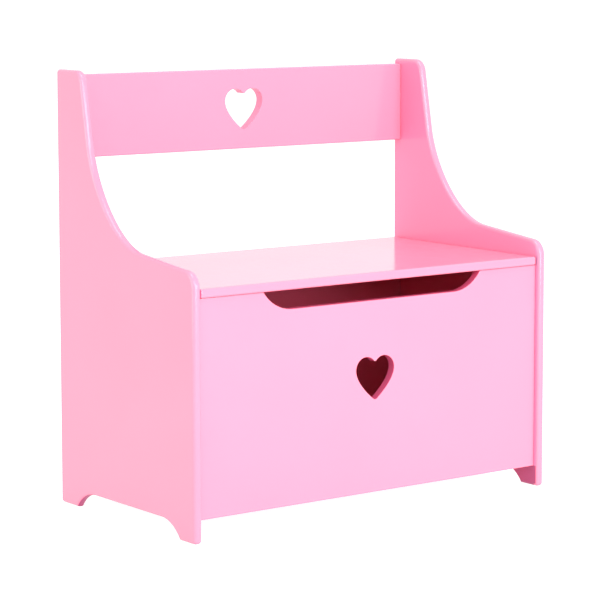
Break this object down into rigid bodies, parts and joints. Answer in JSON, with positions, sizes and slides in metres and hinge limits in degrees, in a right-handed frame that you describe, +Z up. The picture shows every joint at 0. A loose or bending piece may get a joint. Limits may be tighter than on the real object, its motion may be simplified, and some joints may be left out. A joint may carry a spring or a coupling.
{
  "type": "toy box bench",
  "caption": "Painted board toy box with a hinged seat lid, tall swept side panels, a back rail, heart cut-outs and a hand grip slot.",
  "frame": {"origin": "on the floor, at the middle of the footprint", "axes": "+X to the sitter's left, which is right as seen from the front; +Y to the rear; +Z up"},
  "size_m": [0.6, 0.327, 0.597],
  "materials": {
    "pink_paint": "satin gloss paint on fibreboard",
    "zinc_plate": "zinc plated",
    "steel": "bright",
    "beech": "bare"
  },
  "bodies": {
    "carcass": {"back_left_cam_bolt_lower": "steel", "back_left_cam_bolt_upper": "steel", "back_left_cam_lower": "zinc_plate", "back_left_cam_upper": "zinc_plate", "back_left_dowel": "beech", "back_panel": "pink_paint", "back_rail": "pink_paint", "back_right_cam_bolt_lower": "steel", "back_right_cam_bolt_upper": "steel", "back_right_cam_lower": "zinc_plate", "back_right_cam_upper": "zinc_plate", "back_right_dowel": "beech", "floor_panel": "pink_paint", "front_left_cam_bolt_lower": "steel", "front_left_cam_bolt_upper": "steel", "front_left_cam_lower": "zinc_plate", "front_left_cam_upper": "zinc_plate", "front_left_dowel": "beech", "front_panel": "pink_paint", "front_right_cam_bolt_lower": "steel", "front_right_cam_bolt_upper": "steel", "front_right_cam_lower": "zinc_plate", "front_right_cam_upper": "zinc_plate", "front_right_dowel": "beech", "left_hinge_fixed_leaf": "zinc_plate", "left_hinge_fixed_screw_inner": "zinc_plate", "left_hinge_fixed_screw_outer": "zinc_plate", "left_hinge_pin": "steel", "left_side_panel": "pink_paint", "rail_left_cam": "zinc_plate", "rail_left_cam_bolt": "steel", "rail_left_dowel": "beech", "rail_right_cam": "zinc_plate", "rail_right_cam_bolt": "steel", "rail_right_dowel": "beech", "right_hinge_fixed_leaf": "zinc_plate", "right_hinge_fixed_screw_inner": "zinc_plate", "right_hinge_fixed_screw_outer": "zinc_plate", "right_hinge_pin": "steel", "right_side_panel": "pink_paint", "stay_side_bracket": "zinc_plate", "stay_side_rivet": "steel", "stay_side_screw_lower": "zinc_plate", "stay_side_screw_upper": "zinc_plate"},
    "lid": {"left_hinge_lid_leaf": "zinc_plate", "left_hinge_lid_screw_inner": "zinc_plate", "left_hinge_lid_screw_outer": "zinc_plate", "lid_panel": "pink_paint", "right_hinge_lid_leaf": "zinc_plate", "right_hinge_lid_screw_inner": "zinc_plate", "right_hinge_lid_screw_outer": "zinc_plate", "stay_lid_bracket": "zinc_plate", "stay_lid_rivet": "steel", "stay_lid_screw_front": "zinc_plate", "stay_lid_screw_rear": "zinc_plate"},
    "lower_arm": {"stay_lower_arm": "zinc_plate"},
    "upper_arm": {"stay_upper_arm": "zinc_plate", "stay_elbow_rivet": "steel"}
  },
  "joints": [
    {"name": "lid_hinge", "type": "hinge", "parent": "carcass", "child": "lid", "pos_m": [0, 0.1607, 0.3152], "axis": [-1, 0, 0], "range_deg": [0, 78]},
    {"name": "stay_side_pivot", "type": "hinge", "parent": "carcass", "child": "lower_arm", "pos_m": [-0.2837, 0.1257, 0.2252], "axis": [-1, 0, 0], "range_deg": [0, 78]},
    {"name": "stay_lid_pivot", "type": "hinge", "parent": "lid", "child": "upper_arm", "pos_m": [-0.2819, 0.0607, 0.3072], "axis": [-1, 0, 0], "range_deg": [-78, 0]}
  ],
  "couplings": [
    {"joint": "stay_side_pivot", "follows": "lid_hinge", "ratio": 1},
    {"joint": "stay_lid_pivot", "follows": "lid_hinge", "ratio": -1}
  ]
}
